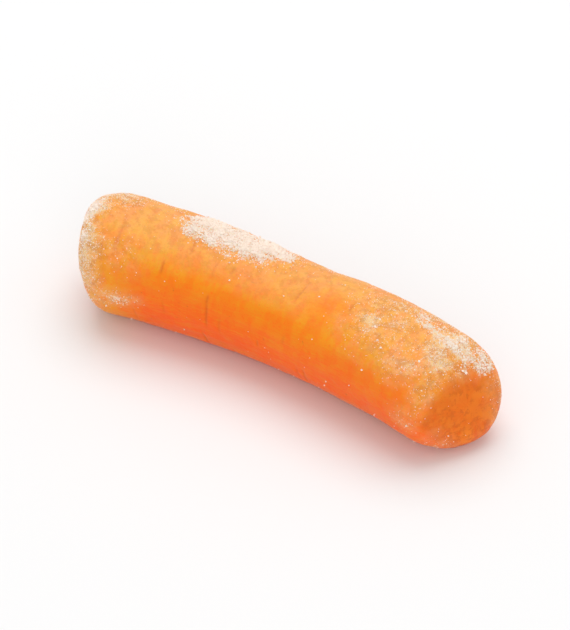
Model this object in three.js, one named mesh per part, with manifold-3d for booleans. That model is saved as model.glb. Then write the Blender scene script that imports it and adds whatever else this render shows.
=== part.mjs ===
// A frozen baby-cut carrot, lying on its side.
//
// It is a short length of root, cut at both ends and tumbled smooth, so it is one
// solid: a crown end and a slightly slimmer tip end, both blunt with rounded rims
// and cut a little aslant, a slight waist between them, a slight bow, and a narrow
// flat underneath, where it lay on the freezer belt.
//
// Units are millimetres, +Z is up. X runs along the root from crown to tip, and the
// root bows towards +Y. The origin is on the resting plane, under the middle of the
// part's box.

import * as THREE from "three";
import { mergeVertices } from "three/addons/utils/BufferGeometryUtils.js";
import Module from "manifold-3d";

// Driving dimensions
const LENGTH = 54.4; // crown face to tip face, along the axis
const CROWN_RADIUS = 7.1; // of the plain taper, before the swellings
const TAPER = 1.1; // radius lost from crown to tip
const BOW = 3.1; // how far the middle of the axis stands off the line of its ends
const CROWN_SWELL = { height: 0.45, at: 0.2, spread: 0.24 }; // at and spread are shares of LENGTH
const TIP_SWELL = { height: 1, at: 0.84, spread: 0.26 };

// Each end is a superellipse: depth is how far its rounding reaches, and a higher
// bluntness makes a flatter face with a tighter rim. The face leans by these slopes.
const CROWN_END = { depth: 5.4, bluntness: 2.7, leanUp: -0.14, leanSide: -0.12 };
const TIP_END = { depth: 4.6, bluntness: 2.8, leanUp: -0.28, leanSide: 0.2 };
const LEAN_REACH = 11; // how far from a face its lean has faded out

// The section isn't quite round: each lobe is [count around, share of radius, phase, twist].
const LOBES = [
  [2, 0.02, 0.6, 0.5],
  [3, 0.014, 2.0, 1.6],
  [5, 0.006, 0.4, -2.4],
];

// The flat underneath is pressed in by this much, give or take a slow wave.
const FLAT_DEPTH = 0.3;
const FLAT_WAVE = 0.07;
const FLAT_WAVES = 2.3;

// Mesh fineness: the section has 8 * CAP_RINGS sides.
const CAP_RINGS = 6;
const SIDE_RINGS = 38;

const CARROT_COLOUR = new THREE.Color().setRGB(0.93, 0.45, 0.1, THREE.SRGBColorSpace);

const swell = (share, { height, at, spread }) =>
  height * Math.exp(-(((share - at) / spread) ** 2));

/** Radius of the root, with its end roundings left out. */
function bodyRadius(x) {
  const share = x / LENGTH;
  return CROWN_RADIUS - TAPER * share + swell(share, CROWN_SWELL) + swell(share, TIP_SWELL);
}

/** How far out of round the section is at x, as a factor on its radius. */
function lobeFactor(x, angle) {
  const turn = x / LENGTH;
  return LOBES.reduce(
    (sum, [count, share, phase, twist]) => sum + share * Math.cos(count * angle + phase + twist * turn),
    1,
  );
}

/** Half the outline of one end, from the middle of its face to its rim, 1 wide and 1 deep. */
class EndOutline extends THREE.Curve {
  constructor(bluntness) {
    super();
    this.power = 2 / bluntness;
  }

  getPoint(t, target = new THREE.Vector2()) {
    const angle = (t * Math.PI) / 2;
    return target.set(1 - Math.cos(angle) ** this.power, Math.sin(angle) ** this.power);
  }
}

/** Height of the axis over the resting plane, so that the underside is pressed in by the flat. */
function axisHeight(x) {
  const wave = FLAT_WAVE * Math.sin((x / LENGTH) * FLAT_WAVES * 2 * Math.PI);
  return bodyRadius(x) * lobeFactor(x, Math.PI) - FLAT_DEPTH - wave;
}

/** How far the axis stands off the line of its ends, and how steeply it runs there. */
const bowAt = (share) => 4 * BOW * share * (1 - share);
const bowSlope = (share) => (4 * BOW * (1 - 2 * share)) / LENGTH;

/** How much of an end's lean is felt at this distance from it. */
const leanShare = (distance) => Math.max(0, 1 - distance / LEAN_REACH) ** 2;

/**
 * A point of the skin. x is measured along the axis from the crown, spread is the
 * share of the body's radius there, and angle is 0 on top and positive towards +Y.
 */
function skinPoint(x, spread, angle) {
  const radius = bodyRadius(x) * spread * lobeFactor(x, angle);
  const up = radius * Math.cos(angle);
  const side = radius * Math.sin(angle);

  const share = x / LENGTH;
  const sideways = new THREE.Vector3(-bowSlope(share), 1, 0).normalize();
  const lean =
    leanShare(x) * (CROWN_END.leanUp * up + CROWN_END.leanSide * side) +
    leanShare(LENGTH - x) * (TIP_END.leanUp * up + TIP_END.leanSide * side);

  const point = new THREE.Vector3(x + lean, bowAt(share), axisHeight(x) + up);
  return point.addScaledVector(sideways, side);
}

/**
 * A grid of points as triangles. flip turns the faces round, and crossed says which
 * quads are split along their other diagonal.
 */
function gridTriangles(rows, columns, pointAt, flip, crossed = () => false) {
  const corners = [];
  for (let row = 0; row < rows; row++) {
    for (let column = 0; column < columns; column++) {
      const a = pointAt(row, column);
      const b = pointAt(row, column + 1);
      const c = pointAt(row + 1, column + 1);
      const d = pointAt(row + 1, column);
      const quad = flip ? [a, b, c, d] : [a, d, c, b];
      if (crossed(row, column)) quad.push(quad.shift());
      corners.push(quad[0], quad[1], quad[2], quad[0], quad[2], quad[3]);
    }
  }
  return corners;
}

/** Angle of a point of the square [-1, 1] x [-1, 1], even along each of its square rings. */
function squareAngle(a, b) {
  const eighth = Math.PI / 4;
  if (a === 0 && b === 0) return 0;
  if (Math.abs(a) >= Math.abs(b)) return eighth * (b / a) + (a < 0 ? Math.PI : 0);
  return 2 * eighth - eighth * (a / b) + (b < 0 ? Math.PI : 0);
}

/**
 * One end as a square grid wrapped onto it, so that no triangles crowd at its middle.
 * Each quad is split along the diagonal that runs outwards, or the square's corners,
 * which lie flat along the rim, would leave slivers there.
 */
function endTriangles(end, xFromFace, flip) {
  const outline = new EndOutline(end.bluntness);
  const pointAt = (row, column) => {
    const a = row / CAP_RINGS - 1;
    const b = column / CAP_RINGS - 1;
    const { x, y } = outline.getPointAt(Math.max(Math.abs(a), Math.abs(b)));
    return skinPoint(xFromFace(x * end.depth), y, squareAngle(a, b));
  };
  const crossed = (row, column) => row < CAP_RINGS !== column < CAP_RINGS;
  return gridTriangles(2 * CAP_RINGS, 2 * CAP_RINGS, pointAt, flip, crossed);
}

function sideTriangles() {
  const sides = 8 * CAP_RINGS;
  const reach = LENGTH - CROWN_END.depth - TIP_END.depth;
  const pointAt = (row, column) =>
    skinPoint(CROWN_END.depth + (reach * row) / SIDE_RINGS, 1, (2 * Math.PI * column) / sides);
  return gridTriangles(SIDE_RINGS, sides, pointAt, false);
}

function closedSkin() {
  const corners = [
    ...sideTriangles(),
    ...endTriangles(CROWN_END, (depth) => depth, false),
    ...endTriangles(TIP_END, (depth) => LENGTH - depth, true),
  ];
  return mergeVertices(new THREE.BufferGeometry().setFromPoints(corners), 1e-3);
}

const wasm = await Module();
wasm.setup();

function toSolid(geometry) {
  const bare = geometry.clone();
  bare.deleteAttribute("normal");
  bare.deleteAttribute("uv");
  const merged = mergeVertices(bare, 1e-3);
  return new wasm.Manifold(
    new wasm.Mesh({
      numProp: 3,
      vertProperties: merged.attributes.position.array,
      triVerts: new Uint32Array(merged.index.array),
    }),
  );
}

function toGeometry(solid) {
  const { vertProperties, triVerts } = solid.getMesh();
  const geometry = new THREE.BufferGeometry();
  geometry.setAttribute("position", new THREE.BufferAttribute(vertProperties, 3));
  geometry.setIndex(new THREE.BufferAttribute(triVerts, 1));
  geometry.computeVertexNormals();
  return geometry;
}

/** Everything below the resting plane, to cut the flat with. */
function belowRest() {
  const depth = LENGTH;
  return new THREE.BoxGeometry(3 * LENGTH, 3 * LENGTH, depth).translate(LENGTH / 2, 0, -depth / 2);
}

/** The root with its flat cut, its box centred over the origin. */
function carrotGeometry() {
  const geometry = toGeometry(toSolid(closedSkin()).subtract(toSolid(belowRest())));
  geometry.computeBoundingBox();
  const middle = geometry.boundingBox.getCenter(new THREE.Vector3());
  return geometry.translate(-middle.x, -middle.y, 0);
}

const carrot = new THREE.Mesh(
  carrotGeometry(),
  new THREE.MeshStandardMaterial({ color: CARROT_COLOUR, roughness: 0.45, metalness: 0 }),
);
carrot.name = "carrot";

const part = new THREE.Group();
part.add(carrot);

export default part;
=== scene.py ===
"""The looks of a frozen baby-cut carrot, built around its CAD frame.

The CAD node is replaced by a fine skin of the same shape, with the lumps, scars and
frost crust that a real one has, and small ice grains lie in the frost as a mesh of
their own. Angles round the root are 0 on top and positive towards +Y.
"""

import math
from functools import partialmethod
from types import SimpleNamespace
from typing import NamedTuple

import bpy
import numpy as np
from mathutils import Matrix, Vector, noise


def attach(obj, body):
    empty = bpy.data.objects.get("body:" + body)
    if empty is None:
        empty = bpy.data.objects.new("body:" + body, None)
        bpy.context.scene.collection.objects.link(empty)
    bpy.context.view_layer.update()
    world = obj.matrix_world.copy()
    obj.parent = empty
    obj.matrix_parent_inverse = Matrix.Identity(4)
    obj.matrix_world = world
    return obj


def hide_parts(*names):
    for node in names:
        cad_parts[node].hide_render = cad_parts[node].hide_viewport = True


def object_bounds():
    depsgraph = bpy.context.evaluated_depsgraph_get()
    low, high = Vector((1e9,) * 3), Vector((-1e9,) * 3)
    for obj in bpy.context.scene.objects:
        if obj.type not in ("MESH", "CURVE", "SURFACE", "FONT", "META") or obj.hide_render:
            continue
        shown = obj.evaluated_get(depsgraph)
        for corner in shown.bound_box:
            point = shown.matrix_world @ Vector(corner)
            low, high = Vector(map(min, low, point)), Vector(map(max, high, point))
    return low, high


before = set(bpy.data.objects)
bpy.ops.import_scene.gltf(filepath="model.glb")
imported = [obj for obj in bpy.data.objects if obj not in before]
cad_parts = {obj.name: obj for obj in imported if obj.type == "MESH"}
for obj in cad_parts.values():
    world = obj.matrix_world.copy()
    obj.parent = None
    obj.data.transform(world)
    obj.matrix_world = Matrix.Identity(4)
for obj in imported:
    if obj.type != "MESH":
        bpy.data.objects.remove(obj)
cad_low, cad_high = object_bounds()

MM = 0.001  # the shape is worked out in millimetres and placed in metres

# ---------------------------------------------------------------- shape of the root
# The same driving dimensions as the CAD node.
LENGTH = 54.4  # crown face to tip face, along the axis
CROWN_RADIUS = 7.1  # of the plain taper, before the swellings
TAPER = 1.1  # radius lost from crown to tip
BOW = 3.1
SWELLS = ((0.45, 0.2, 0.24), (1.0, 0.84, 0.26))  # height, and place and spread as shares of LENGTH
LOBES = ((2, 0.02, 0.6, 0.5), (3, 0.014, 2.0, 1.6), (5, 0.006, 0.4, -2.4))  # count, share, phase, twist
FLAT_DEPTH = 0.3
FLAT_WAVE = 0.07
FLAT_WAVES = 2.3
CROWN_END = dict(depth=5.4, bluntness=2.7, lean_up=-0.14, lean_side=-0.12)
TIP_END = dict(depth=4.6, bluntness=2.8, lean_up=-0.28, lean_side=0.2)
LEAN_REACH = 11.0  # how far from a face its lean has faded out


def body_radius(x):
    share = x / LENGTH
    swell = sum(h * np.exp(-(((share - at) / spread) ** 2)) for h, at, spread in SWELLS)
    return CROWN_RADIUS - TAPER * share + swell


def lobe_factor(x, angle):
    turn = x / LENGTH
    return 1 + sum(s * np.cos(count * angle + phase + twist * turn) for count, s, phase, twist in LOBES)


def axis_height(x):
    wave = FLAT_WAVE * np.sin(x / LENGTH * FLAT_WAVES * 2 * np.pi)
    return body_radius(x) * lobe_factor(x, np.pi) - FLAT_DEPTH - wave


def lean_share(distance):
    return np.maximum(0, 1 - distance / LEAN_REACH) ** 2


def skin_points(x, spread, angle):
    """Points of the skin: x along the axis from the crown, spread as a share of the radius there."""
    radius = body_radius(x) * spread * lobe_factor(x, angle)
    up, side = radius * np.cos(angle), radius * np.sin(angle)
    share = x / LENGTH
    slope = 4 * BOW * (1 - 2 * share) / LENGTH
    steep = np.sqrt(1 + slope**2)
    lean = lean_share(x) * (CROWN_END["lean_up"] * up + CROWN_END["lean_side"] * side)
    lean += lean_share(LENGTH - x) * (TIP_END["lean_up"] * up + TIP_END["lean_side"] * side)
    return np.stack(
        (
            x + lean - side * slope / steep,
            4 * BOW * share * (1 - share) + side / steep,
            axis_height(x) + up,
        ),
        axis=-1,
    )


# ---------------------------------------------------------------- the fine skin as a grid
CAP_RINGS = 36  # the section has 8 * CAP_RINGS sides
SIDE_RINGS = 288
OUTLINE_POINTS = 2001  # along which an end's outline is measured

# Where each stretch of the skin lies on the bake map: its low corner and its size.
SIDE_ON_MAP = ((0.005, 0.005), (0.655, 0.99))
CROWN_ON_MAP = ((0.675, 0.005), (0.32, 0.32))
TIP_ON_MAP = ((0.675, 0.34), (0.32, 0.32))


def square_angle(a, b):
    """Angle of a point of the square [-1, 1] x [-1, 1], even along each of its square rings."""
    eighth = np.pi / 4
    wide = np.abs(a) >= np.abs(b)
    with np.errstate(divide="ignore", invalid="ignore"):
        angle = np.where(
            wide,
            eighth * b / a + np.where(a < 0, np.pi, 0),
            2 * eighth - eighth * a / b + np.where(b < 0, np.pi, 0),
        )
    return np.where((a == 0) & (b == 0), 0, angle)


def end_outline(end, share):
    """Depth and spread of an end's outline, at a share of the way from its middle to its rim."""
    turn = np.linspace(0, np.pi / 2, OUTLINE_POINTS)
    power = 2 / end["bluntness"]
    depth, spread = 1 - np.cos(turn) ** power, np.sin(turn) ** power
    way = np.concatenate(([0], np.cumsum(np.hypot(np.diff(depth), np.diff(spread)))))
    at = share * way[-1]
    return np.interp(at, way, depth) * end["depth"], np.interp(at, way, spread)


def quads(grid, flip, outwards):
    """Quads over a grid of vertex numbers, and where their corners are as shares of the grid.

    A quad is split from its first corner, which outwards puts on the way out of the grid's middle.
    """
    last = np.array(grid.shape) - 1
    rows, columns = np.meshgrid(np.arange(last[0]), np.arange(last[1]), indexing="ij")
    steps = ((0, 0), (0, 1), (1, 1), (1, 0)) if flip else ((0, 0), (1, 0), (1, 1), (0, 1))
    places = np.stack([np.stack((rows + r, columns + c), -1) for r, c in steps], axis=2)
    if outwards:
        middle = last / 2
        crossed = (rows < middle[0]) != (columns < middle[1])
        places[crossed] = np.roll(places[crossed], 1, axis=1)
    places = places.reshape(-1, 4, 2)
    return grid[places[..., 0], places[..., 1]], places / last


def skin_grid():
    """Skin coordinates of every vertex, the quads, and the quads' corners on the bake map."""
    around = 8 * CAP_RINGS
    turn = np.arange(around) * 2 * np.pi / around
    along = np.linspace(CROWN_END["depth"], LENGTH - TIP_END["depth"], SIDE_RINGS + 1)
    x, angle = (g.ravel() for g in np.meshgrid(along, turn, indexing="ij"))
    xs, spreads, angles = [x], [np.ones_like(x)], [angle]
    side = np.arange(x.size).reshape(SIDE_RINGS + 1, around)
    side = np.concatenate((side, side[:, :1]), axis=1)
    count = x.size
    faces, map_corners = [], []

    def keep(grid, flip, on_map, outwards=False):
        made, places = quads(grid, flip, outwards)
        low, size = np.array(on_map)
        faces.append(made)
        map_corners.append(low + places * size)

    keep(side, False, SIDE_ON_MAP)
    steps = np.arange(2 * CAP_RINGS + 1) / CAP_RINGS - 1
    a, b = np.meshgrid(steps, steps, indexing="ij")
    ring, cap_angle = np.maximum(np.abs(a), np.abs(b)), square_angle(a, b)
    rim_column = np.rint(cap_angle * around / (2 * np.pi)).astype(int) % around
    inner = ring < 1 - 0.5 / CAP_RINGS
    for end, rim, on_map in ((CROWN_END, side[0], CROWN_ON_MAP), (TIP_END, side[-1], TIP_ON_MAP)):
        crown = end is CROWN_END
        depth, spread = end_outline(end, ring[inner])
        grid = rim[rim_column]
        grid[inner] = count + np.arange(depth.size)
        count += depth.size
        xs.append(depth if crown else LENGTH - depth)
        spreads.append(spread)
        angles.append(cap_angle[inner])
        keep(grid, not crown, on_map, outwards=True)
    return tuple(np.concatenate(parts) for parts in (xs, spreads, angles, faces, map_corners))


def vertex_normals(points, faces):
    corners = points[faces]
    face = np.cross(corners[:, 2] - corners[:, 0], corners[:, 3] - corners[:, 1])
    total = np.zeros_like(points)
    for corner in range(4):
        np.add.at(total, faces[:, corner], face)
    return total / np.linalg.norm(total, axis=1, keepdims=True)


# ---------------------------------------------------------------- fields over the skin
# A patch is a share of the length, an angle in degrees, its reach along and round in
# millimetres, its turn on the skin in degrees, and its strength.
CRUST_PATCHES = (
    # the bright band along the top
    (0.29, 12, 3.2, 3.0, 0, 0.92),
    (0.365, 13, 3.2, 3.1, 0, 0.84),
    (0.425, 18, 3.1, 2.8, 0, 0.88),
    # the shoulder over the tip face
    (0.85, 14, 3.0, 1.6, 6, 0.3),
    (0.942, 16, 2.1, 2.4, 0, 0.39),
    (0.979, 38, 1.8, 3.4, 0, 0.43),
    # the crown's rim, and low on its side
    (0.03, -12, 1.3, 5.5, 0, 0.5),
    (0.112, -99, 2.6, 0.9, 12, 0.2),
    # the hidden side
    (0.16, 140, 5.0, 3.0, 14, 0.42),
    (0.55, 118, 9.0, 3.6, -8, 0.46),
    (0.86, 150, 4.2, 3.4, 0, 0.42),
)
BLOOM_PATCHES = (
    # the grainy half towards the tip
    (0.755, -22, 2.2, 2.0, 0, 0.75),
    (0.79, 0, 6.0, 5.2, 6, 0.62),
    (0.80, -36, 1.9, 1.8, 0, 0.5),
    (0.87, 32, 5.0, 2.6, 0, 0.65),
    (0.885, -38, 3.2, 2.6, 0, 0.62),
    (0.95, 10, 3.1, 4.5, 0, 1.15),
    # the rim of the tip face
    (0.95, -88, 2.4, 2.2, 0, 0.3),
    (0.972, 4, 1.0, 3.0, 0, 0.9),
    (0.975, -52, 1.6, 2.2, 0, 0.5),
    (0.975, -140, 1.6, 3.0, 0, 0.4),
    (0.977, -30, 1.7, 2.0, 0, 0.6),
    (0.985, 100, 2.4, 4.0, 0, 0.6),
    (0.99, 40, 1.4, 1.4, 0, 0.25),
    # round the bright band
    (0.33, 0, 6.5, 2.4, 0, 0.7),
    (0.35, 30, 12.0, 4.0, 0, 0.5),
    (0.62, 40, 8.0, 3.4, 0, 0.35),
    # the crown's face and rim, and behind them
    (0.0, 70, 3.0, 3.4, 0, 0.6),
    (0.03, -12, 3.0, 7.0, 0, 1.0),
    (0.03, -58, 2.8, 4.4, 0, 1.0),
    (0.03, -110, 2.3, 4.0, 0, 0.45),
    (0.08, 22, 3.4, 4.4, 0, 0.75),
    (0.112, -96, 3.4, 1.5, 10, 0.55),
    (0.12, -46, 3.6, 2.8, 0, 0.3),
    (0.2, 32, 2.6, 2.2, 0, 0.45),
    # the hidden side
    (0.45, 115, 20.0, 6.0, 0, 0.75),
    (0.80, 170, 10.0, 5.0, 0, 0.5),
)
BARE_PATCHES = ((0.665, -30, 4.0, 2.7, 0, 0.9),)  # where the frost dust and painted top light are left off
DEEP_PATCHES = ((0.645, -25, 2.5, 2.2, 0, 0.35),)  # where the flesh is deeper in colour
WORN_PATCHES = (  # where the edge of the tip's cut face is worn away
    (0.973, -50, 1.6, 2.0, 0, 0.9),
    (0.975, 38, 1.0, 2.0, 0, 0.8),
    (0.977, -28, 1.9, 2.4, 0, 1.0),
)

# The share of its reach over which a patch is at full strength.
CRUST_FIRM = 0.35
THIN_FIRM = 0.2

# Noises over the skin: cells to a millimetre, octaves, seed, and stretch along each axis.
FALL_OFF = 1.0  # of each octave against the one before
LACUNARITY = 2.0
SEED_STEP = np.array((17.3, 5.1, 9.7))  # in cells, from one seed's noise to the next one's
EVEN = (1, 1, 1)
RAGGED_NOISE = (0.7, 4, 1, (0.5, 1, 1))
CRUST_NOISE = (2.3, 2, 2, EVEN)
BROAD_LUMP_NOISE = (0.08, 2, 3, EVEN)
LUMP_NOISE = (0.22, 2, 4, EVEN)
FLUTE_NOISE = (0.42, 2, 5, (0.14, 1, 1))
WRINKLE_NOISE = (0.85, 3, 6, (1, 0.5, 0.5))
PORE_NOISE = (1.9, 2, 7, EVEN)
CORE_NOISE = (0.4, 2, 8, EVEN)
CUT_NOISE = (0.35, 3, 9, EVEN)

# Frost: what a cut face keeps off, how ragged it is, and how it spreads round the crust.
CRUST_OFF_CUT = 0.8
BLOOM_OFF_CUT = 0.6
CRUST_BEGINS = (0.05, 0.4)  # the strengths over which the crust takes on its raggedness
CRUST_RAGGED = 0.34
CRUST_IN_BLOOM = 0.2
BLOOM_RAGGED = 0.6
CRUST_ROUNDED = (0.1, 0.5)  # the strengths of crust over which bloom gathers round it
BLOOM_ROUND_CRUST = 0.7
CRUSTED = (0.36, 0.8)  # the strengths of crust over which it stands proud
# A pale veil on upward faces: frost dust, and painted top light where the light from above falls.
DUST_AND_TOP_LIGHT = 0.5  # the most frost dust and painted top light on whatever faces up
DUST_AND_TOP_LIGHT_SLOPES = (0.55, 1.05)  # the upward slopes over which it gathers
UPWARD_RAGGED = 0.06

# Relief, in millimetres.
BROAD_LUMP = 0.2
LUMP = 0.09
FLUTE = 0.1  # the long soft ridges that peeling leaves
WRINKLE = 0.065
BARE_WRINKLED = 0.3  # how much of the wrinkling shows where there is no bloom
PORE = 0.018
CUT_PORES = 3  # how much deeper the pores are on a cut face, over those of the side
SCAR_DEPTH = 0.1
CRUST_HEIGHT = 0.09
CRUST_GRAIN = 0.11
DISH = 0.16  # how far the middle of a cut face has sunk in
DISH_SLOPE = (0.9, 0.1)  # the spreads from its rim to its deepest
FLAT_EDGE = 0.05  # how softly the skin turns into the flat
HOLLOW = (0.2, -0.4)  # the wrinkle heights from none to the full depth of a hollow

# Cut faces: radii and widths are shares of the radius.
MIDDLE_OF_FACE = 0.15
CUT_TURN = (0.0, 0.2, -0.4)  # a face's own direction is turned this way before it is compared
CUT_EDGE = (0.70, 0.985)  # the cosines to that direction over which the cut face begins
CUT_UNEVEN = 0.1
CORE_RADIUS = 0.42
CORE_UNEVEN = 0.05
CORE_EDGE = 0.03  # half the width over which the core's colour begins
CORE_GROOVE = (0.05, 0.06)  # its width, and its depth in millimetres

# The low side, where painted shade makes the flesh deepest in colour.
PAINTED_SHADE_SLOPES = (0.65, -0.24)  # the upward slopes over which it deepens
PAINTED_SHADE_BEND = 0.75  # below 1 it deepens faster at first
PAINTED_SHADE_FROM = (4.0, 12.0)  # how far from the crown it begins

# Scars, each drawn from these ranges; lengths are in millimetres.
SEED = 7
SCARS = 64
SCAR_PLACE = (0.06, 0.94)  # share of LENGTH
SCAR_REACH = (0.5, 2.0)
SCAR_WIDTH = (0.12, 0.24)
SCAR_STRENGTH = (0.35, 1)
SCAR_SLANT = 0.12


def noise_at(points, cells, octaves, seed, stretch):
    """Smooth noise, about -1 to 1."""
    places = points * (np.array(stretch) * cells) + seed * SEED_STEP
    return np.array([noise.fractal(Vector(p), FALL_OFF, LACUNARITY, octaves) for p in places])


def smoothstep(low, high, value):
    t = np.clip((value - low) / (high - low), 0, 1)
    return t * t * (3 - 2 * t)


def turned_away(skin, degrees):
    """The angle of each point from this one, from half a turn back to half a turn on."""
    return (skin.angle - math.radians(degrees) + np.pi) % (2 * np.pi) - np.pi


def patch_frame(skin, share, degrees):
    """The skin's point at this place, and the ways along it, round it and out of it."""
    off = turned_away(skin, degrees) * CROWN_RADIUS * skin.spread
    nearest = np.argmin((skin.x - share * LENGTH) ** 2 + off**2)
    outward = skin.normals[nearest]
    round_way = np.array((0, math.cos(skin.angle[nearest]), -math.sin(skin.angle[nearest])))
    lengthwise = np.cross(round_way, outward)
    return skin.points[nearest], lengthwise / np.linalg.norm(lengthwise), round_way, outward


def patch_field(skin, patches, firm):
    """The strongest of the patches at each point. At its reach a patch is down to half."""
    field = np.zeros(len(skin.points))
    for share, degrees, along, around, turn, strength in patches:
        centre, lengthwise, round_way, outward = patch_frame(skin, share, degrees)
        c, s = math.cos(math.radians(turn)), math.sin(math.radians(turn))
        first, second = c * lengthwise + s * round_way, c * round_way - s * lengthwise
        away = skin.points - centre
        reach = ((first, along), (second, around), (outward, min(along, around)))
        far = np.sqrt(sum((away @ way / size) ** 2 for way, size in reach))
        field = np.maximum(field, strength * (1 - smoothstep(firm, 2.0 - firm, far)))
    return field


def scar_field(skin, rng):
    """Short shallow marks across the root, where its side roots were: 1 in the middle of each."""
    field = np.zeros(len(skin.points))
    for _ in range(SCARS):
        at, degrees = rng.uniform(*SCAR_PLACE) * LENGTH, rng.uniform(-180, 180)
        reach, width = rng.uniform(*SCAR_REACH), rng.uniform(*SCAR_WIDTH)
        strength = rng.uniform(*SCAR_STRENGTH)
        off = turned_away(skin, degrees)
        along = skin.x - at + SCAR_SLANT * off * CROWN_RADIUS * rng.uniform(-1, 1)
        mark = strength * np.exp(-((off * CROWN_RADIUS / reach) ** 4) - (along / width) ** 2)
        field = np.maximum(field, mark)
    return field


def cut_mask(skin):
    """1 on the cut faces, where the skin looks the way the middle of its end does, and 0 round them."""
    mask = np.zeros(len(skin.x))
    uneven = CUT_UNEVEN * noise_at(skin.points, *CUT_NOISE)
    for near in (skin.x < LENGTH / 2, skin.x > LENGTH / 2):
        outward = skin.normals[near & (skin.spread < MIDDLE_OF_FACE)].mean(0) + CUT_TURN
        same_way = skin.normals[near] @ (outward / np.linalg.norm(outward))
        mask[near] = smoothstep(*CUT_EDGE, same_way + uneven[near])
    return mask


def frost_fields(skin, cut, ragged):
    """The crust, which is thick and white, and the bloom, which is a thin haze."""
    crust = patch_field(skin, CRUST_PATCHES, CRUST_FIRM) * (1 - CRUST_OFF_CUT * cut)
    bloom = patch_field(skin, BLOOM_PATCHES, THIN_FIRM) * (1 - BLOOM_OFF_CUT * cut)
    crust += ragged * (CRUST_RAGGED * smoothstep(*CRUST_BEGINS, crust) + CRUST_IN_BLOOM * bloom)
    bloom *= 1 + BLOOM_RAGGED * ragged
    round_crust = BLOOM_ROUND_CRUST * smoothstep(*CRUST_ROUNDED, crust)
    return np.clip(crust, 0, 1), np.clip(np.maximum(bloom, round_crust), 0, 1)


def skin_relief(skin, wrinkled, core_edge, cut, crusted, bloom, scar):
    """How far each point stands out of the plain shape."""
    height = BROAD_LUMP * noise_at(skin.points, *BROAD_LUMP_NOISE)
    height += LUMP * noise_at(skin.points, *LUMP_NOISE)
    height += FLUTE * noise_at(skin.points, *FLUTE_NOISE) * (1 - cut)
    height += WRINKLE * wrinkled * (BARE_WRINKLED + bloom)
    height += PORE * noise_at(skin.points, *PORE_NOISE) * (1 + CUT_PORES * cut)
    height -= SCAR_DEPTH * scar
    groove_width, groove_depth = CORE_GROOVE
    height -= groove_depth * np.exp(-((core_edge / groove_width) ** 2)) * cut
    height -= DISH * cut * smoothstep(*DISH_SLOPE, skin.spread)
    return height + crusted * (CRUST_HEIGHT + CRUST_GRAIN * noise_at(skin.points, *CRUST_NOISE))


def painted_low_shade_field(skin, upward, worn):
    """1 where painted shade makes the flesh deepest in colour on the low side, and in the patches where
    the flesh is deeper in colour.
    """
    shallow, deep = PAINTED_SHADE_SLOPES
    painted_low_shade = np.clip((shallow - upward) / (shallow - deep), 0, 1) ** PAINTED_SHADE_BEND
    painted_low_shade *= smoothstep(*PAINTED_SHADE_FROM, skin.x) * (1 - worn)
    return np.maximum(painted_low_shade, patch_field(skin, DEEP_PATCHES, THIN_FIRM))


def make_skin():
    """The fine skin: its points, quads and map corners, and what its material reads at each point."""
    x, spread, angle, faces, map_corners = skin_grid()
    points = skin_points(x, spread, angle)
    normals = vertex_normals(points, faces)
    skin = SimpleNamespace(x=x, spread=spread, angle=angle, points=points, normals=normals)

    ragged = noise_at(points, *RAGGED_NOISE)
    wrinkled = noise_at(points, *WRINKLE_NOISE)
    worn = patch_field(skin, WORN_PATCHES, THIN_FIRM)
    cut = cut_mask(skin) * (1 - worn)
    core_edge = spread - CORE_RADIUS - CORE_UNEVEN * noise_at(points, *CORE_NOISE)
    crust, bloom = frost_fields(skin, cut, ragged)
    crusted = smoothstep(*CRUSTED, crust)
    scar = scar_field(skin, np.random.default_rng(SEED)) * (1 - cut) * (1 - crusted)

    upward = normals[:, 2] + UPWARD_RAGGED * ragged
    # The pale veil on upward faces is frost dust and painted top light, left off in the bare patches.
    left_bare = patch_field(skin, BARE_PATCHES, THIN_FIRM)
    fields = dict(
        crust=crust,
        bloom=bloom,
        dust_and_top_light=DUST_AND_TOP_LIGHT * smoothstep(*DUST_AND_TOP_LIGHT_SLOPES, upward) * (1 - cut) * (1 - left_bare),
        hollow=smoothstep(*HOLLOW, wrinkled),
        scar=scar,
        cut=cut,
        core=smoothstep(CORE_EDGE, -CORE_EDGE, core_edge),
        # Painted shade that deepens the flesh on its low side.
        painted_low_shade=painted_low_shade_field(skin, upward, worn),
    )
    rays = np.stack((np.cos(angle), np.sin(angle), 0 * angle), axis=1)

    relief = skin_relief(skin, wrinkled, core_edge, cut, crusted, bloom, scar)
    points = points + normals * relief[:, None]
    low = points[:, 2]
    points[:, 2] = 0.5 * (low + np.sqrt(low**2 + FLAT_EDGE**2))
    return points, faces, map_corners, fields, rays


def build_mesh(name, points, faces, smooth):
    mesh = bpy.data.meshes.new(name)
    mesh.from_pydata(points.tolist(), [], faces.tolist())
    mesh.polygons.foreach_set("use_smooth", [smooth] * len(faces))
    mesh.update()
    piece = bpy.data.objects.new(name, mesh)
    bpy.context.scene.collection.objects.link(piece)
    return piece


points_mm, faces, map_corners, fields, rays = make_skin()
low, high = points_mm.min(0), points_mm.max(0)
cad_middle = (np.array(cad_low) + np.array(cad_high)) / 2
shift = np.array((*(cad_middle[:2] / MM - (low + high)[:2] / 2), cad_low[2] / MM - low[2]))
points_mm = points_mm + shift

root = build_mesh("carrot_root", points_mm * MM, faces, True)
bake_map = root.data.uv_layers.new(name="OFBake")
bake_map.data.foreach_set("uv", map_corners.ravel())
for name, values in fields.items():
    attribute = root.data.attributes.new(name, "FLOAT", "POINT")
    attribute.data.foreach_set("value", values.astype(np.float32))
attribute = root.data.attributes.new("rays", "FLOAT_VECTOR", "POINT")
attribute.data.foreach_set("vector", rays.astype(np.float32).ravel())


# ---------------------------------------------------------------- materials
class Pattern(NamedTuple):
    """A noise with this many cells to a millimetre: none of it shows under low, and all over high."""

    cells: float
    low: float
    high: float
    strength: float = 1.0
    detail: float = 2.0
    roughness: float = 0.5
    stretch: tuple = (1, 1, 1)


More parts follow.
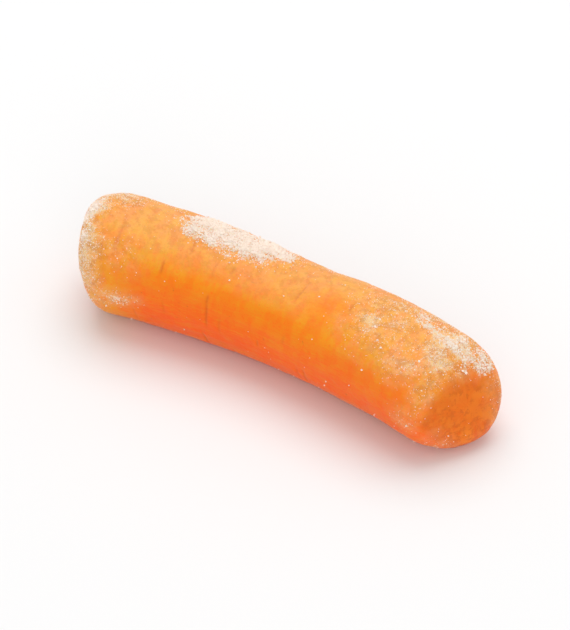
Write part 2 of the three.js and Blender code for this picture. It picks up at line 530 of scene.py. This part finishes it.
class Tree:
    """A material's node tree, with short calls to add and join its nodes."""

    def __init__(self, name):
        self.material = bpy.data.materials.new(name)
        self.material.use_nodes = True
        self.nodes = self.material.node_tree.nodes
        self.links = self.material.node_tree.links
        self.shader = self.nodes["Principled BSDF"]

    def set(self, socket, value):
        if isinstance(value, bpy.types.NodeSocket):
            self.links.new(value, socket)
        else:
            socket.default_value = value

    def node(self, kind, inputs, **settings):
        made = self.nodes.new(kind)
        for key, value in settings.items():
            setattr(made, key, value)
        for key, value in inputs.items():
            self.set(made.inputs[key], value)
        return made

    def attribute(self, name, output="Fac"):
        return self.node("ShaderNodeAttribute", {}, attribute_name=name).outputs[output]

    def maths(self, operation, a, *others):
        """The operation on a and the next value, then on that and the one after."""
        for other in others:
            a = self.node("ShaderNodeMath", {0: a, 1: other}, operation=operation).outputs[0]
        return a

    times = partialmethod(maths, "MULTIPLY")
    plus = partialmethod(maths, "ADD")
    less = partialmethod(maths, "SUBTRACT")
    higher = partialmethod(maths, "MAXIMUM")
    lower = partialmethod(maths, "MINIMUM")

    def between(self, share, start, end):
        """start where the share is 0, and end where it is 1."""
        return self.plus(self.times(share, end - start), start)

    def step(self, low, high, value):
        """0 below low, 1 above high."""
        return self.node(
            "ShaderNodeMapRange",
            {"Value": value, "From Min": low, "From Max": high},
            interpolation_type="SMOOTHSTEP",
        ).outputs["Result"]

    def mix(self, share, a, b):
        made = self.node("ShaderNodeMix", {"Factor": share}, data_type="RGBA")
        self.set(made.inputs[6], a)
        self.set(made.inputs[7], b)
        return made.outputs[2]

    def noise(self, pattern, over=None):
        """The pattern's noise, 0 to 1, over the piece or over another vector."""
        unit = 1
        if over is None:
            over, unit = self.node("ShaderNodeTexCoord", {}).outputs["Object"], MM
        scale = tuple(pattern.cells / unit * s for s in pattern.stretch)
        mapped = self.node("ShaderNodeMapping", {"Vector": over, "Scale": scale})
        inputs = {
            "Vector": mapped.outputs["Vector"],
            "Scale": 1.0,
            "Detail": pattern.detail,
            "Roughness": pattern.roughness,
        }
        return self.node("ShaderNodeTexNoise", inputs).outputs["Fac"]

    def shown(self, pattern, noise=None):
        """How much of the pattern shows, from its own noise unless that is there already."""
        if noise is None:
            noise = self.noise(pattern)
        step = self.step(pattern.low, pattern.high, noise)
        return step if pattern.strength == 1 else self.times(step, pattern.strength)

    def put(self, **values):
        for key, value in values.items():
            self.set(self.shader.inputs[key.replace("_", " ")], value)


def rgb(red, green, blue):
    """A colour from its sRGB values, 0 to 255."""
    parts = (c / 255 for c in (red, green, blue))
    return (*(c / 12.92 if c <= 0.04045 else ((c + 0.055) / 1.055) ** 2.4 for c in parts), 1.0)


FLESH = rgb(243, 150, 14)
FLESH_LIGHT = rgb(242, 166, 34)
# The flesh's deeper tone in blotches and fine cells, also used as painted shade on the low side and in
# the wrinkle hollows.
FLESH_DEEP_AND_SHADE = rgb(254, 88, 4)
CORE = rgb(236, 118, 20)
FACE = rgb(232, 98, 8)
FACE_LIGHT = rgb(246, 146, 40)
FACE_DARK = rgb(192, 78, 12)
SCAR_COLOUR = rgb(214, 98, 16)
SPECK = rgb(186, 100, 40)
# The pale haze of frost, which on upward faces is also painted top light.
HAZE_AND_TOP_LIGHT = rgb(255, 212, 153)
FROST_SHADE = rgb(194, 104, 42)
WHITE_FROST = rgb(255, 237, 219)
ICE = rgb(255, 240, 226)
FLOOR_WHITE = (0.88, 0.88, 0.88, 1)

# The root's side.
BROAD = Pattern(0.09, 0.35, 0.72, detail=3, stretch=(0.6, 1, 1))
DEEP_BLOTCHES = Pattern(0.16, 0.5, 0.78, 0.3, detail=3)
FIBRES = Pattern(1.5, 0.45, 0.75, 0.2, stretch=(0.06, 1, 1))
THREADS = Pattern(5.0, 0.48, 0.72, 0.35, detail=3, roughness=0.6, stretch=(0.1, 1, 1))
CELLS = Pattern(4.0, 0.5, 0.72, 0.35, roughness=0.6)
SPECKS = Pattern(1.4, 0.7, 0.76, 0.3)
PAINTED_LOW_SHADE_SHARE = 0.9
# How far painted shade deepens the flesh in the wrinkle hollows.
PAINTED_HOLLOW_SHADE = 0.3
SCAR_SHARE = 0.65

# The cut faces. RAYS is a noise over the direction from the axis, so it has no millimetres.
BLOTCHES = Pattern(0.5, 0.42, 0.62, 0.8, detail=4, roughness=0.65)
RAYS = Pattern(7, 0.42, 0.62, 0.35, detail=3)
PITS = Pattern(1.15, 0.48, 0.62, 0.6, detail=4, roughness=0.7)
CORE_SHARE = 0.5
FACE_SHARE = 0.8

# The frost: first its patterns, then how much of each kind of it shows.
COARSE = Pattern(1.1, 0.36, 0.62, 0.5, detail=3, roughness=0.65)
GRAIN = Pattern(3.4, 0.36, 0.64, 0.5, detail=3, roughness=0.7)
SHADE = Pattern(0.95, 0.46, 0.58, 0.6, detail=4, roughness=0.7)
SPECKLE_MIDDLE = 0.5  # of the coarse and the fine speckle together
SPECKLE_COVER = 0.65  # what the speckles add
HOLLOW_COVER = 0.25  # what the hollows add
BLOOM_COVER = 0.15  # what bloom has without them
FULL_BLOOM = (0.6, 1.0)  # the strengths over which bloom closes up
FULL_BLOOM_COVER = 0.3  # what that adds
DUST_AND_TOP_LIGHT_COVER = 0.4  # what the frost dust and painted top light have without them, and how much of what they add counts for them
THINNEST_VEIL = 0.015  # the haze where there is no frost
MOST_SHADED = 0.55  # the bloom from which the shade in it gets no stronger
DUST_AND_TOP_LIGHT_SHADED = 0.9  # how far the frost dust and painted top light are shaded, against bloom
CRUST_BREAKS = (0.03, 0.35)  # the strengths of crust over which it breaks up into speckles
CRUST_BROKEN = 0.75  # how far it breaks up
CRUST_WHITENS = (0.2, 0.98)  # the strengths over which it turns white
WHITEST = 0.92
HAZE_DRY = 0.8  # how dry haze is, against crust
ROUGHNESS = (0.32, 0.82)  # of moist flesh, and of dry frost
BUMPINESS = (0.2, 1.8)  # of the same
COARSE_BUMP = 0.8  # against the fine grain's
BUMP_HEIGHT = 0.15 * MM
BUMP_STRENGTH = 0.7


def flesh_colour(t, hollow, scar, painted_low_shade):
    """The peeled root: orange in broad and fine changes, with painted shade low down and in the wrinkle
    hollows, with scars and specks.
    """
    colour = t.mix(t.shown(BROAD), FLESH, FLESH_LIGHT)
    # Deeper in random blotches, and in painted shade on the low side.
    deep = t.higher(t.shown(DEEP_BLOTCHES), t.times(painted_low_shade, PAINTED_LOW_SHADE_SHARE))
    colour = t.mix(deep, colour, FLESH_DEEP_AND_SHADE)
    colour = t.mix(t.shown(FIBRES), colour, FLESH_LIGHT)
    colour = t.mix(t.shown(THREADS), colour, FLESH_LIGHT)
    colour = t.mix(t.shown(CELLS), colour, FLESH_DEEP_AND_SHADE)
    # Painted shade in the wrinkle hollows.
    colour = t.mix(t.times(hollow, PAINTED_HOLLOW_SHADE), colour, FLESH_DEEP_AND_SHADE)
    colour = t.mix(t.times(scar, SCAR_SHARE), colour, SCAR_COLOUR)
    return t.mix(t.shown(SPECKS), colour, SPECK)


def with_cut_faces(t, colour, cut, core):
    """The cut faces over it: blotched and pitted, with rays round a core, and a darker rim."""
    rays = t.noise(RAYS, over=t.attribute("rays", "Vector"))
    face = t.mix(t.shown(BLOTCHES), FACE, FACE_LIGHT)
    face = t.mix(t.shown(RAYS, rays), face, FACE_LIGHT)
    face = t.mix(t.times(core, CORE_SHARE), face, CORE)
    face = t.mix(t.shown(PITS), face, FACE_DARK)
    colour = t.mix(t.times(cut, FACE_SHARE), colour, face)
    return t.mix(t.times(cut, t.less(1.0, cut)), colour, FACE_DARK)


def flesh_material():
    t = Tree("carrot_flesh")
    names = ("crust", "bloom", "dust_and_top_light", "hollow", "scar", "cut", "core", "painted_low_shade")
    crust, bloom, dust_and_top_light, hollow, scar, cut, core, painted_low_shade = (t.attribute(name) for name in names)
    colour = with_cut_faces(t, flesh_colour(t, hollow, scar, painted_low_shade), cut, core)

    coarse, grain = t.noise(COARSE), t.noise(GRAIN)
    speckle = t.plus(t.shown(COARSE, coarse), t.shown(GRAIN, grain))
    cover = t.plus(t.times(speckle, SPECKLE_COVER), t.times(hollow, HOLLOW_COVER))
    closed_up = t.times(t.step(*FULL_BLOOM, bloom), FULL_BLOOM_COVER)
    thin = t.times(bloom, t.plus(BLOOM_COVER, cover, closed_up))
    # The pale veil on upward faces: frost dust and painted top light.
    even = t.times(dust_and_top_light, t.plus(DUST_AND_TOP_LIGHT_COVER, t.times(cover, DUST_AND_TOP_LIGHT_COVER)))
    # The haze holds the frost's bloom and the painted top light.
    haze = t.higher(thin, t.plus(even, THINNEST_VEIL))
    colour = t.mix(haze, colour, HAZE_AND_TOP_LIGHT)

    veiled = t.higher(t.lower(bloom, MOST_SHADED), t.times(dust_and_top_light, DUST_AND_TOP_LIGHT_SHADED))
    colour = t.mix(t.times(veiled, t.shown(SHADE)), colour, FROST_SHADE)

    breaks = t.times(t.step(*CRUST_BREAKS, crust), CRUST_BROKEN)
    broken = t.times(t.less(speckle, SPECKLE_MIDDLE), breaks)
    frost = t.times(t.step(*CRUST_WHITENS, t.plus(crust, broken)), WHITEST)
    colour = t.mix(frost, colour, WHITE_FROST)

    dry = t.higher(t.times(haze, HAZE_DRY), frost)
    relief = t.times(t.plus(grain, t.times(coarse, COARSE_BUMP)), t.between(dry, *BUMPINESS))
    bumps = {"Height": relief, "Distance": BUMP_HEIGHT, "Strength": BUMP_STRENGTH}
    bump = t.node("ShaderNodeBump", bumps)
    t.put(Base_Color=colour, Roughness=t.between(dry, *ROUGHNESS), Normal=bump.outputs["Normal"])
    t.put(Subsurface_Weight=0.4, Subsurface_Radius=(1.0, 0.3, 0.08), Subsurface_Scale=1.6 * MM)
    t.put(Specular_IOR_Level=0.12, Sheen_Weight=0.02, Sheen_Roughness=0.5)
    return t.material


def plain_material(name, colour, roughness, specular):
    t = Tree(name)
    t.put(Base_Color=colour, Roughness=roughness, Specular_IOR_Level=specular)
    return t.material


root.data.materials.append(flesh_material())
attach(root, "root")
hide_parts("carrot")


# ---------------------------------------------------------------- ice grains
GRAIN_KINDS = ((9000, 0.085, "crust"), (15000, 0.045, "bloom"))  # how many, middle radius, and where
GRAIN_SPREAD = 0.35  # of the logarithm of the radius
GRAIN_LIMIT = 2  # in spreads, either way
GRAIN_PROUD = 0.25  # how far its middle is out of the skin, as a share of its radius
CORNER_REACH = (0.6, 1.25)  # how far each corner stands from the middle, in radii
AXIS_REACH = (0.7, 1.3)  # and how far a grain is drawn out along each of its axes
LOWEST_GRAIN = 0.6  # how far over the floor the lowest one sits
STRAY = 0.0007  # how thickly they lie where there is no frost
OCTAHEDRON = np.array(((1, 0, 0), (0, 1, 0), (-1, 0, 0), (0, -1, 0), (0, 0, 1), (0, 0, -1)), float)
OCTAHEDRON_FACES = np.array(
    ((0, 1, 4), (1, 2, 4), (2, 3, 4), (3, 0, 4), (1, 0, 5), (2, 1, 5), (3, 2, 5), (0, 3, 5))
)


def random_turns(count, rng):
    """This many rotation matrices, even over all directions."""
    quaternions = rng.normal(size=(4, count))
    w, x, y, z = quaternions / np.linalg.norm(quaternions, axis=0)
    rows = (
        (1 - 2 * (y * y + z * z), 2 * (x * y - w * z), 2 * (x * z + w * y)),
        (2 * (x * y + w * z), 1 - 2 * (x * x + z * z), 2 * (y * z - w * x)),
        (2 * (x * z - w * y), 2 * (y * z + w * x), 1 - 2 * (x * x + y * y)),
    )
    return np.moveaxis(np.array(rows), 2, 0)


def grain_cloud(points, faces, field, count, middle_radius, rng):
    """Irregular grains of ice, half sunk in the skin, most of them where the field is high."""
    corners = points[faces]
    normals = np.cross(corners[:, 2] - corners[:, 0], corners[:, 3] - corners[:, 1])
    area = np.linalg.norm(normals, axis=1)
    wanted = (field[faces].mean(1) ** 2 + STRAY) * area
    wanted[corners[:, :, 2].min(1) < LOWEST_GRAIN] = 0
    chosen = rng.choice(len(faces), count, p=wanted / wanted.sum())
    u, v = rng.random((2, count, 1))
    a, b, c, d = (corners[chosen, i] for i in range(4))
    centre = (1 - u) * ((1 - v) * a + v * b) + u * ((1 - v) * d + v * c)
    sizes = rng.normal(size=(count, 1)).clip(-GRAIN_LIMIT, GRAIN_LIMIT)
    radius = middle_radius * np.exp(GRAIN_SPREAD * sizes)
    centre += GRAIN_PROUD * radius * normals[chosen] / area[chosen, None]
    shape = OCTAHEDRON * rng.uniform(*CORNER_REACH, (count, len(OCTAHEDRON), 1))
    shape *= rng.uniform(*AXIS_REACH, (count, 1, 3))
    turned = np.einsum("gij,gvj->gvi", random_turns(count, rng), shape)
    return (centre[:, None] + radius[:, None] * turned).reshape(-1, 3)


def make_grains(points, faces, fields):
    """All the grains as one mesh of small closed solids."""
    rng = np.random.default_rng(SEED + 1)
    clouds = [grain_cloud(points, faces, fields[name], n, size, rng) for n, size, name in GRAIN_KINDS]
    grain_points = np.concatenate(clouds)
    firsts = np.arange(0, len(grain_points), len(OCTAHEDRON))
    return grain_points, (OCTAHEDRON_FACES + firsts[:, None, None]).reshape(-1, 3)


grain_points, grain_faces = make_grains(points_mm, faces, fields)
grains = build_mesh("frost_grains", grain_points * MM, grain_faces, False)
grains.data.materials.append(plain_material("frost_ice", ICE, roughness=0.4, specular=0.4))
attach(grains, "root")


# ---------------------------------------------------------------- floor, lights and camera
FLOOR_HALF = 2.0
FLOOR_DROP = 0.05 * MM  # so that it doesn't share the resting plane
WORLD_STRENGTH = 0.66
LIGHTS = (  # name, place, size and power
    ("key", (-0.1, 0.2, 0.65), 0.7, 2.45),
    ("fill", (0.38, -0.52, 0.35), 0.5, 1.0),
)
AZIMUTH, ELEVATION = math.radians(33), math.radians(40)
DISTANCE = 0.7
FRAME_WIDTH = 0.068  # what the camera sees across, at the carrot
SENSOR_WIDTH = 36
CLIP = (0.01, 20)


def make_floor():
    half = FLOOR_HALF
    corners = np.array(((-half, -half, 0), (half, -half, 0), (half, half, 0), (-half, half, 0)))
    floor = build_mesh("floor", corners - (0, 0, FLOOR_DROP), np.array([[0, 1, 2, 3]]), False)
    floor.data.materials.append(plain_material("floor_white", FLOOR_WHITE, roughness=0.8, specular=0.2))


def make_light(name, place, size, power):
    """A round soft light that looks at the carrot."""
    data = bpy.data.lights.new(name, "AREA")
    data.shape, data.size, data.energy = "DISK", size, power
    lamp = bpy.data.objects.new(name, data)
    lamp.location = place
    lamp.rotation_euler = (-Vector(place)).to_track_quat("-Z", "Y").to_euler()
    bpy.context.scene.collection.objects.link(lamp)


def make_world():
    world = bpy.data.worlds.new("studio")
    world.use_nodes = True
    background = world.node_tree.nodes["Background"]
    background.inputs["Color"].default_value = (1, 1, 1, 1)
    background.inputs["Strength"].default_value = WORLD_STRENGTH
    bpy.context.scene.world = world


def make_camera():
    level = math.cos(ELEVATION)
    back = Vector((math.sin(AZIMUTH) * level, -math.cos(AZIMUTH) * level, math.sin(ELEVATION)))
    data = bpy.data.cameras.new("camera")
    data.sensor_fit, data.sensor_width = "HORIZONTAL", SENSOR_WIDTH
    data.lens = SENSOR_WIDTH * DISTANCE / FRAME_WIDTH
    data.clip_start, data.clip_end = CLIP
    camera = bpy.data.objects.new("camera", data)
    camera.location = (cad_low + cad_high) / 2 + back * DISTANCE
    camera.rotation_euler = (-back).to_track_quat("-Z", "Y").to_euler()
    bpy.context.scene.collection.objects.link(camera)
    bpy.context.scene.camera = camera


make_floor()
make_world()
for light in LIGHTS:
    make_light(*light)
make_camera()
bpy.context.scene.view_settings.view_transform = "Standard"
